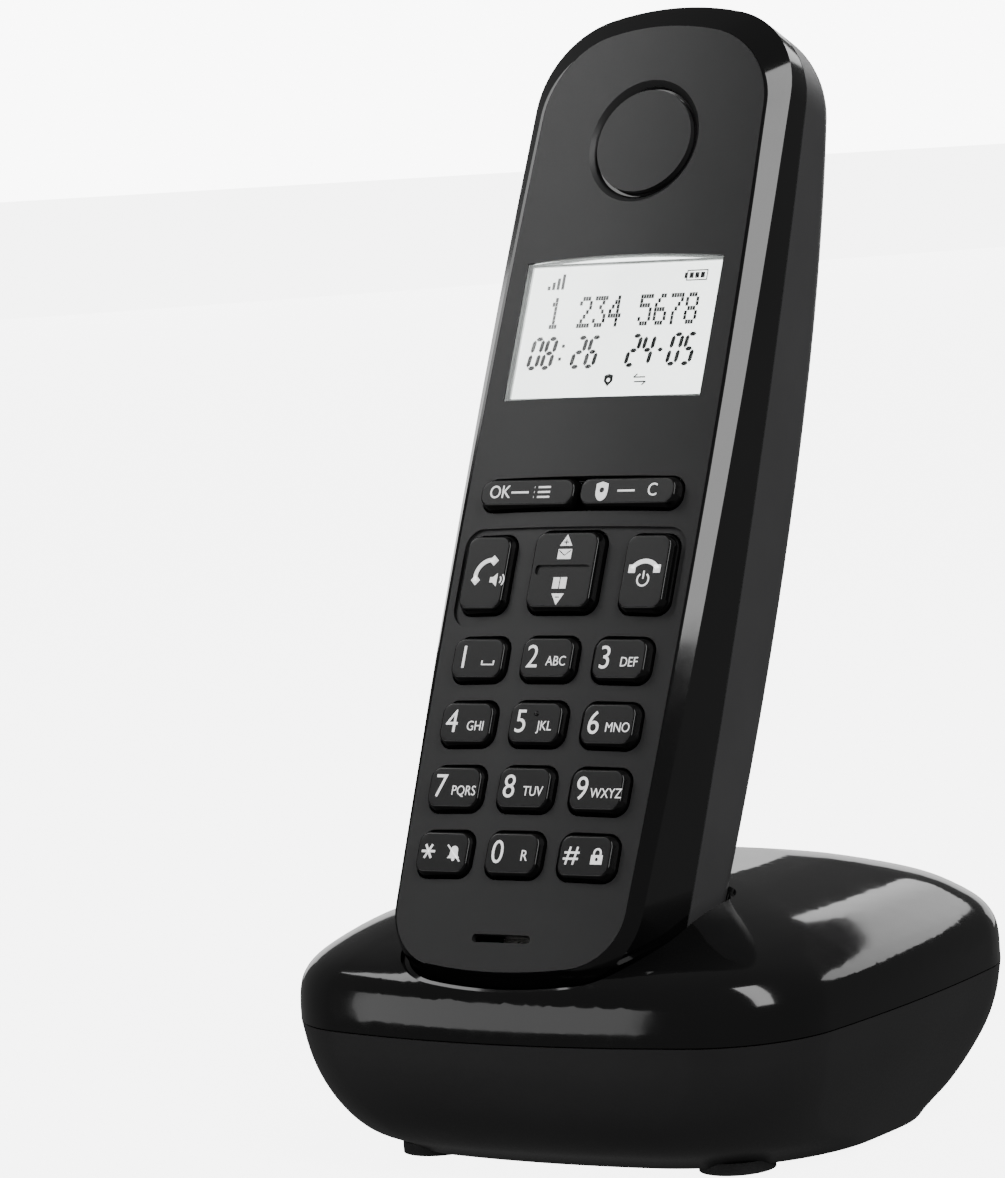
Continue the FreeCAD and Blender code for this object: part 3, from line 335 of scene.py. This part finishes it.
def lay(mesh, across, up, out, thick):
    """Lays a flat drawing, in mm, on the handset and gives it its thickness."""
    depth = [vertex.co.z for vertex in mesh.vertices]
    tall = max(depth) - min(depth)
    flatten = Matrix.Scale(thick / tall, 4, (0, 0, 1)) if tall > 1e-6 else Matrix()
    place = HANDSET @ Matrix.Scale(MM, 4) @ Matrix.Translation((across, up, out))
    mesh.transform(place @ flatten)
    return mesh


def word(text, size, across, up, narrow=1.0, thin=0.0):
    """A word, centred on a point; size is its line height in mm."""
    font = bpy.data.curves.new("legend", "FONT")
    font.body = text
    font.size = size
    font.align_x, font.align_y = "CENTER", "CENTER"
    font.extrude = 0.05
    font.offset = thin
    font.resolution_u = 4
    mesh = mesh_from(font, "legend")
    mesh.transform(Matrix.Translation((across, up, 0)) @ Matrix.Scale(narrow, 4, (1, 0, 0)))
    return mesh


def strokes(lines, width):
    """Round-ended lines of one width through points in mm; a closed line repeats its first."""
    curve = bpy.data.curves.new("strokes", "CURVE")
    curve.dimensions = "3D"
    curve.bevel_depth = width / 2
    curve.bevel_resolution = 1
    curve.use_fill_caps = True
    for points in lines:
        closed = points[0] == points[-1] and len(points) > 2
        points = points[:-1] if closed else points
        spline = curve.splines.new("POLY")
        spline.points.add(len(points) - 1)
        for target, (x, y) in zip(spline.points, points):
            target.co = (x, y, 0, 1)
        spline.use_cyclic_u = closed
    return mesh_from(curve, "strokes")


def filled(outlines):
    """A flat plate from closed outlines in mm; an outline inside another is a hole."""
    curve = bpy.data.curves.new("filled", "CURVE")
    curve.dimensions = "2D"
    curve.fill_mode = "BOTH"
    curve.extrude = 0.05
    for points in outlines:
        spline = curve.splines.new("POLY")
        spline.points.add(len(points) - 1)
        for target, (x, y) in zip(spline.points, points):
            target.co = (x, y, 0, 1)
        spline.use_cyclic_u = True
    return mesh_from(curve, "filled")


def arc(x, y, radius, start, end, steps=10):
    """Points on an arc, angles in degrees."""
    turns = [math.radians(start + (end - start) * i / steps) for i in range(steps + 1)]
    return [(x + radius * math.cos(t), y + radius * math.sin(t)) for t in turns]


def rectangle(x, y, wide, high):
    return [(x - wide / 2, y - high / 2), (x + wide / 2, y - high / 2),
            (x + wide / 2, y + high / 2), (x - wide / 2, y + high / 2)]


LEGEND_THICK = 0.03
MARK_THICK = 0.02


def print_on(key, drawings, across, up):
    """Prints white drawings on a key's top."""
    out = KEY_PROUD - sag(across) + LEGEND_THICK / 2
    meshes = [lay(drawing, across, up, out, LEGEND_THICK) for drawing in drawings]
    piece_from(meshes, key + "_legend", "legend_white", key)


def star_sign():
    lines = [[(-2.4 - 1.15 * math.cos(t), 0.1 - 1.15 * math.sin(t)),
              (-2.4 + 1.15 * math.cos(t), 0.1 + 1.15 * math.sin(t))]
             for t in (math.radians(turn) for turn in (0, 60, 120))]
    return [strokes(lines, 0.36)]


def muted_bell():
    bell = [(1.0, -0.85), (1.35, -0.4)] + arc(2.05, 0.35, 0.62, 180, 0, 8)
    bell += [(2.75, -0.4), (3.1, -0.85)]
    clapper = arc(2.05, -1.0, 0.26, 0, 360, 10)[:-1]
    slash = [[(0.8, 1.1), (3.2, -1.3)]]
    return [filled([bell]), filled([clapper]), strokes(slash, 0.24)]


def hash_sign():
    lines = [[(-3.0, -1.3), (-2.5, 1.3)], [(-1.8, -1.3), (-1.3, 1.3)],
             [(-3.4, 0.45), (-0.9, 0.45)], [(-3.5, -0.45), (-1.0, -0.45)]]
    return [strokes(lines, 0.32)]


def padlock():
    body = filled([rectangle(2.1, -0.5, 1.9, 1.35), arc(2.1, -0.45, 0.27, 0, 360, 10)[:-1]])
    shackle = [(1.55, 0.15)] + arc(2.1, 0.5, 0.55, 180, 0, 8) + [(2.65, 0.15)]
    return [body, strokes([shackle], 0.3)]


def space_sign():
    return [strokes([[(0.9, -0.35), (0.9, -0.95), (2.9, -0.95), (2.9, -0.35)]], 0.26)]


LETTERS = {"2": "ABC", "3": "DEF", "4": "GHI", "5": "JKL", "6": "MNO", "7": "PQRS", "8": "TUV",
           "9": "WXYZ", "0": "R"}


def number_keys():
    """Digits with their letters, and the three keys that carry signs."""
    order = ["star", "0", "hash", "7", "8", "9", "4", "5", "6", "1", "2", "3"]
    for number, name in enumerate(order):
        across = (number % 3 - 1) * COLUMN_PITCH
        up = LAST_ROW + number // 3 * ROW_PITCH
        if name == "star":
            drawings = star_sign() + muted_bell()
        elif name == "hash":
            drawings = hash_sign() + padlock()
        else:
            drawings = [word(name, 4.9, -2.35, 0.0, 0.9, -0.02)]
            letters = LETTERS.get(name)
            if name == "1":
                drawings += space_sign()
            elif name == "0":
                drawings.append(word(letters, 2.3, 2.2, -0.35, 0.9, -0.01))
            else:
                drawings.append(word(letters, 2.05, 1.75, -0.55, 0.86, -0.01))
        print_on(f"key_{name}", drawings, across, up)
    tactile_dot()


def tactile_dot():
    """Raised dot on the middle key for finding it by touch."""
    shape = bmesh.new()
    bmesh.ops.create_uvsphere(shape, u_segments=16, v_segments=10, radius=0.38)
    flat = Matrix.Translation((0.1, 1.3, 0)) @ Matrix.Scale(0.55, 4, (0, 0, 1))
    bmesh.ops.transform(shape, matrix=flat, verts=shape.verts)
    mesh = bpy.data.meshes.new("dot")
    shape.to_mesh(mesh)
    shape.free()
    for face in mesh.polygons:
        face.use_smooth = True
    mesh.transform(HANDSET @ Matrix.Scale(MM, 4)
                   @ Matrix.Translation((0, LAST_ROW + 2 * ROW_PITCH, KEY_PROUD)))
    piece_from([mesh], "key_5_dot", "key_plastic", "key_5")


def soft_keys():
    menu = [strokes([[(1.9, y), (4.0, y)] for y in (0.75, 0, -0.75)], 0.3),
            strokes([[(1.25, y), (1.3, y)] for y in (0.75, 0, -0.75)], 0.3)]
    left = [word("OK", 2.75, -4.7, 0.02, 0.9, 0.0), strokes([[(-2.7, 0), (0.3, 0)]], 0.3)]
    print_on("softkey_left", left + menu, -SOFT_ACROSS, SOFT_UP)
    shield = [(-5.3, 1.1), (-4.3, 1.4), (-3.3, 1.1), (-3.3, -0.1)]
    shield += arc(-4.3, -0.1, 1.0, 0, -180, 8)[1:-1]
    shield = [(x, y) if y > -0.2 else (x, y * 1.35) for x, y in shield] + [(-5.3, -0.1)]
    right = [filled([shield, arc(-4.3, 0.15, 0.42, 0, 360, 10)[:-1]]),
             strokes([[(-1.6, 0), (1.3, 0)]], 0.3), word("C", 2.75, 4.3, 0.02, 0.9, 0.0)]
    print_on("softkey_right", right, SOFT_ACROSS, SOFT_UP)


def handset_icon(x, y, turn, size=1.0):
    """A telephone handset lying with its ends down, turned by degrees."""
    bow = arc(0, -2.6, 3.3, 146, 34, 12) + arc(0, -2.6, 2.55, 34, 146, 12)
    ends = [rectangle(side * 2.32, -0.95, 1.25, 1.35) for side in (-1, 1)]
    spin = math.radians(turn)
    shapes = []
    for outline in [bow, *ends]:
        shapes.append([(x + size * (px * math.cos(spin) - py * math.sin(spin)),
                        y + size * (px * math.sin(spin) + py * math.cos(spin)))
                       for px, py in outline])
    return [filled([shape]) for shape in shapes]


def call_keys():
    speaker = [(1.2, -1.5), (1.7, -1.5), (2.4, -2.1), (2.4, -0.1), (1.7, -0.7), (1.2, -0.7)]
    waves = [arc(2.4, -1.1, reach, -42, 42, 6) for reach in (0.7, 1.2)]
    talk = handset_icon(-0.6, 0.9, 48, 0.86) + [filled([speaker]), strokes(waves, 0.22)]
    print_on("talk_key", talk, -CALL_ACROSS, CALL_UP)
    ring = arc(0, -1.2, 0.95, 125, 415, 16)
    end = handset_icon(0, 1.25, 0, 0.9) + [strokes([ring, [(0, 0.1), (0, -1.1)]], 0.27)]
    print_on("end_key", end, CALL_ACROSS, CALL_UP)


def nav_legends():
    arrow = [(-1.05, 3.6), (1.05, 3.6), (0, 5.3)]
    down = [(-1.05, -3.6), (1.05, -3.6), (0, -5.3)]
    envelope = rectangle(0, 2.35, 2.3, 1.5)
    flap = strokes([[(-1.0, 2.9), (0, 2.15), (1.0, 2.9)]], 0.16)
    plus = [strokes([[(-0.4, 4.15), (0.4, 4.15)], [(0, 3.75), (0, 4.55)]], 0.17)]
    minus = [strokes([[(-0.35, -4.15), (0.35, -4.15)]], 0.17)]
    book = [rectangle(side * 0.62, -2.0, 1.05, 1.7) for side in (-1, 1)]
    white = [filled([shape]) for shape in (arrow, down, envelope, *book)]
    print_on("nav_key", white, 0, NAV_UP)
    dark = [flap, *plus, *minus]
    out = KEY_PROUD + LEGEND_THICK + 0.012
    meshes = [lay(drawing, 0, NAV_UP, out, MARK_THICK) for drawing in dark]
    piece_from(meshes, "nav_key_marks", "segment_black", "nav_key")


# ---- display --------------------------------------------------------------------------------

GLYPHS = {
    "1": ["..#..", ".##..", "..#..", "..#..", "..#..", "..#..", ".###."],
    "2": [".###.", "#...#", "....#", "...#.", "..#..", ".#...", "#####"],
    "3": ["#####", "...#.", "..#..", "...#.", "....#", "#...#", ".###."],
    "4": ["...#.", "..##.", ".#.#.", "#..#.", "#####", "...#.", "...#."],
    "5": ["#####", "#....", "####.", "....#", "....#", "#...#", ".###."],
    "6": ["..##.", ".#...", "#....", "####.", "#...#", "#...#", ".###."],
    "7": ["#####", "....#", "...#.", "..#..", ".#...", ".#...", ".#..."],
    "8": [".###.", "#...#", "#...#", ".###.", "#...#", "#...#", ".###."],
}
LCD_OUT = -1.97
TEXT_LINE, TIME_LINE, ICON_LINE = 99.4, 93.0, 106.6
SEGMENTS = {"0": "abcdef", "2": "abged", "4": "fgbc", "5": "afgcd", "6": "afgedc", "8": "abcdefg",
            "-": "g"}


def dot_line(text, left, low, pitch, cell_wide, cell_high):
    """A line of dot-matrix figures."""
    dots = []
    for place, mark in enumerate(text):
        for row, line in enumerate(GLYPHS.get(mark, [])):
            for column, dot in enumerate(line):
                if dot == "#":
                    x = left + place * pitch + column * cell_wide
                    y = low + (6 - row) * cell_high
                    dots.append(rectangle(x, y, cell_wide * 1.12, cell_high * 0.95))
    return [filled(dots)]


def seven_segments(mark, x, y, wide, high, bar=0.66, slant=0.14):
    """One slanted figure made of pointed bars."""
    half = high / 2
    ends = {
        "a": ((0, high), (wide, high)), "b": ((wide, half), (wide, high)),
        "c": ((wide, 0), (wide, half)), "d": ((0, 0), (wide, 0)), "e": ((0, 0), (0, half)),
        "f": ((0, half), (0, high)), "g": ((0, half), (wide, half)),
    }
    bars = []
    for name in SEGMENTS[mark]:
        (x0, y0), (x1, y1) = ends[name]
        along = Vector((x1 - x0, y1 - y0)).normalized()
        side = Vector((-along.y, along.x)) * bar / 2
        start, end = Vector((x0, y0)) + along * 0.12, Vector((x1, y1)) - along * 0.12
        corners = [start, start + along * bar / 2 + side, end - along * bar / 2 + side, end,
                   end - along * bar / 2 - side, start + along * bar / 2 - side]
        bars.append([(x + c.x + slant * c.y, y + c.y) for c in corners])
    return bars


def display_figures():
    """Everything that the liquid crystal shows, a hair in front of its reflector."""
    drawings = dot_line("1 234 5678", -12.3, TEXT_LINE, 2.62, 0.43, 0.7)
    bars = []
    for place, mark in enumerate("08 26  24-05"):
        if mark == " ":
            continue
        x = -14.6 + place * 2.36 + (0.5 if place > 2 else 0)
        wide = 1.45 if mark != "-" else 1.2
        bars += seven_segments(mark, x, TIME_LINE, wide, 4.5)
    bars += [rectangle(-9.35 + 0.14 * y, TIME_LINE + y, 0.5, 0.5) for y in (1.3, 3.3)]
    drawings += [filled([bar]) for bar in bars]
    signal = [rectangle(-13.3 + 0.8 * i, 105.5 + 0.3 * i, 0.5, 0.6 + 0.6 * i) for i in range(4)]
    drawings += [filled([bar]) for bar in signal]
    case = rectangle(12.2, ICON_LINE, 3.4, 1.5)
    tip = rectangle(10.25, ICON_LINE, 0.4, 0.9)
    drawings += [strokes([case + case[:1]], 0.26), filled([tip])]
    drawings += [filled([rectangle(11.25 + 0.95 * i, ICON_LINE, 0.7, 0.9)]) for i in range(3)]
    shield = [(-0.75, 91.5), (0, 91.75), (0.75, 91.5), (0.75, 90.6), (0, 89.8), (-0.75, 90.6)]
    drawings.append(filled([shield, arc(0, 90.8, 0.3, 0, 360, 8)[:-1]]))
    arrows = [[(4.3, 91.1), (6.3, 91.1)], [(6.5, 90.4), (4.5, 90.4)], [(4.3, 91.1), (4.9, 91.6)],
              [(6.5, 90.4), (5.9, 89.9)]]
    drawings.append(strokes(arrows, 0.22))
    meshes = [lay(drawing, 0, 0, LCD_OUT, MARK_THICK) for drawing in drawings]
    piece_from(meshes, "display_figures", "segment_black", "handset")


# ---- earpiece ring --------------------------------------------------------------------------


def ear_ring():
    """Polished ring that slopes down towards the earpiece."""
    profile = [(8.32, -1.16), (9.68, -0.02), (9.8, -0.1), (8.42, -1.26)]
    shape = bmesh.new()
    corners = [shape.verts.new((radius, 0, out)) for radius, out in profile]
    edges = [shape.edges.new((corners[i], corners[(i + 1) % 4])) for i in range(4)]
    bmesh.ops.spin(shape, geom=corners + edges, cent=(0, 0, 0), axis=(0, 0, 1),
                   angle=math.tau, steps=128, use_merge=True)
    bmesh.ops.remove_doubles(shape, verts=shape.verts, dist=1e-5)
    bmesh.ops.recalc_face_normals(shape, faces=shape.faces)
    for vertex in shape.verts:
        vertex.co.z -= sag(vertex.co.x)
    mesh = bpy.data.meshes.new("ring")
    shape.to_mesh(mesh)
    shape.free()
    mesh.transform(HANDSET @ Matrix.Scale(MM, 4) @ Matrix.Translation((0, EAR_UP, 0)))
    piece_from([mesh], "earpiece_ring", "gloss_black", "handset")


# ---- stage ----------------------------------------------------------------------------------


def stage():
    """Plain pale floor that runs far back."""
    plane = bmesh.new()
    bmesh.ops.create_grid(plane, x_segments=1, y_segments=1, size=4.0)
    mesh = bpy.data.meshes.new("floor")
    plane.to_mesh(mesh)
    plane.free()
    mesh.materials.append(pale_floor())
    floor = bpy.data.objects.new("floor", mesh)
    bpy.context.scene.collection.objects.link(floor)
    floor.visible_glossy = False
    floor.visible_diffuse = False


def studio():
    """Dim white surroundings, and a bright white background behind the object."""
    world = bpy.data.worlds.new("studio")
    world.use_nodes = True
    bpy.context.scene.world = world
    tree = world.node_tree
    sky = tree.nodes["Background"]
    sky.inputs["Color"].default_value = (1, 1, 1, 1)
    sky.inputs["Strength"].default_value = SURROUND_GLOW
    bright = tree.nodes.new("ShaderNodeBackground")
    bright.inputs["Color"].default_value = (1, 1, 1, 1)
    bright.inputs["Strength"].default_value = BACKGROUND_GLOW
    path = tree.nodes.new("ShaderNodeLightPath")
    mix = tree.nodes.new("ShaderNodeMixShader")
    tree.links.new(path.outputs["Is Camera Ray"], mix.inputs[0])
    tree.links.new(sky.outputs[0], mix.inputs[1])
    tree.links.new(bright.outputs[0], mix.inputs[2])
    tree.links.new(mix.outputs[0], tree.nodes["World Output"].inputs["Surface"])


def direction(turn, tilt):
    """The way out from the middle: turned from the front towards the right, and tilted up."""
    across, ahead = math.sin(turn) * math.cos(tilt), -math.cos(turn) * math.cos(tilt)
    return Vector((across, ahead, math.sin(tilt)))


def softbox(name, azimuth, elevation, distance, wide, high, power, aim=(0, 0, 0.07)):
    """An area light in metres and watts; azimuth 0 is in front of the phone, 90 to its right."""
    light = bpy.data.lights.new(name, "AREA")
    light.shape = "RECTANGLE"
    light.size, light.size_y = wide, high
    light.energy = power
    lamp = bpy.data.objects.new(name, light)
    bpy.context.scene.collection.objects.link(lamp)
    turn, tilt = math.radians(azimuth), math.radians(elevation)
    way = direction(turn, tilt)
    lamp.location = Vector(aim) + way * distance
    lamp.rotation_euler = way.to_track_quat("Z", "Y").to_euler()
    lamp.visible_camera = False


# The camera's place in metres, its angles in degrees and its lens in mm.
EYE_PLACE = (0.4233, -0.6485, 0.1639)
EYE_TURN, EYE_TILT, EYE_ROLL = 34.411, 6.101, -4.503
EYE_LENS = 163.70


def camera():
    turn, tilt, roll = (math.radians(angle) for angle in (EYE_TURN, EYE_TILT, EYE_ROLL))
    back = direction(turn, tilt)
    level = Vector((math.cos(turn), math.sin(turn), 0))
    upright = back.cross(level)
    right = level * math.cos(roll) + upright * math.sin(roll)
    up = upright * math.cos(roll) - level * math.sin(roll)
    lens = bpy.data.cameras.new("camera")
    lens.lens = EYE_LENS
    lens.sensor_width = 36.0
    lens.sensor_fit = "AUTO"
    lens.clip_start, lens.clip_end = 0.05, 50
    eye = bpy.data.objects.new("camera", lens)
    aim = Matrix((right, up, back)).transposed().to_4x4()
    eye.matrix_world = Matrix.Translation(EYE_PLACE) @ aim
    bpy.context.scene.collection.objects.link(eye)
    bpy.context.scene.camera = eye


for node in NODES:
    dress(node)
number_keys()
soft_keys()
call_keys()
nav_legends()
display_figures()
ear_ring()
stage()
studio()
softbox("right_box", 66, 42, 1.6, 0.5, 1.5, 15)
softbox("lip_box", -66, 46, 0.9, 0.42, 0.3, 1.5, (0, -0.04, 0.03))
softbox("shoulder_box", 172, 30, 0.6, 0.6, 0.12, 0.55, (0.03, 0.02, 0.03))
softbox("backdrop", 208, 3, 2.5, 2.6, 0.7, 7)
softbox("front_card", -34, 2, 1.5, 1.2, 0.5, 2.8)
camera()
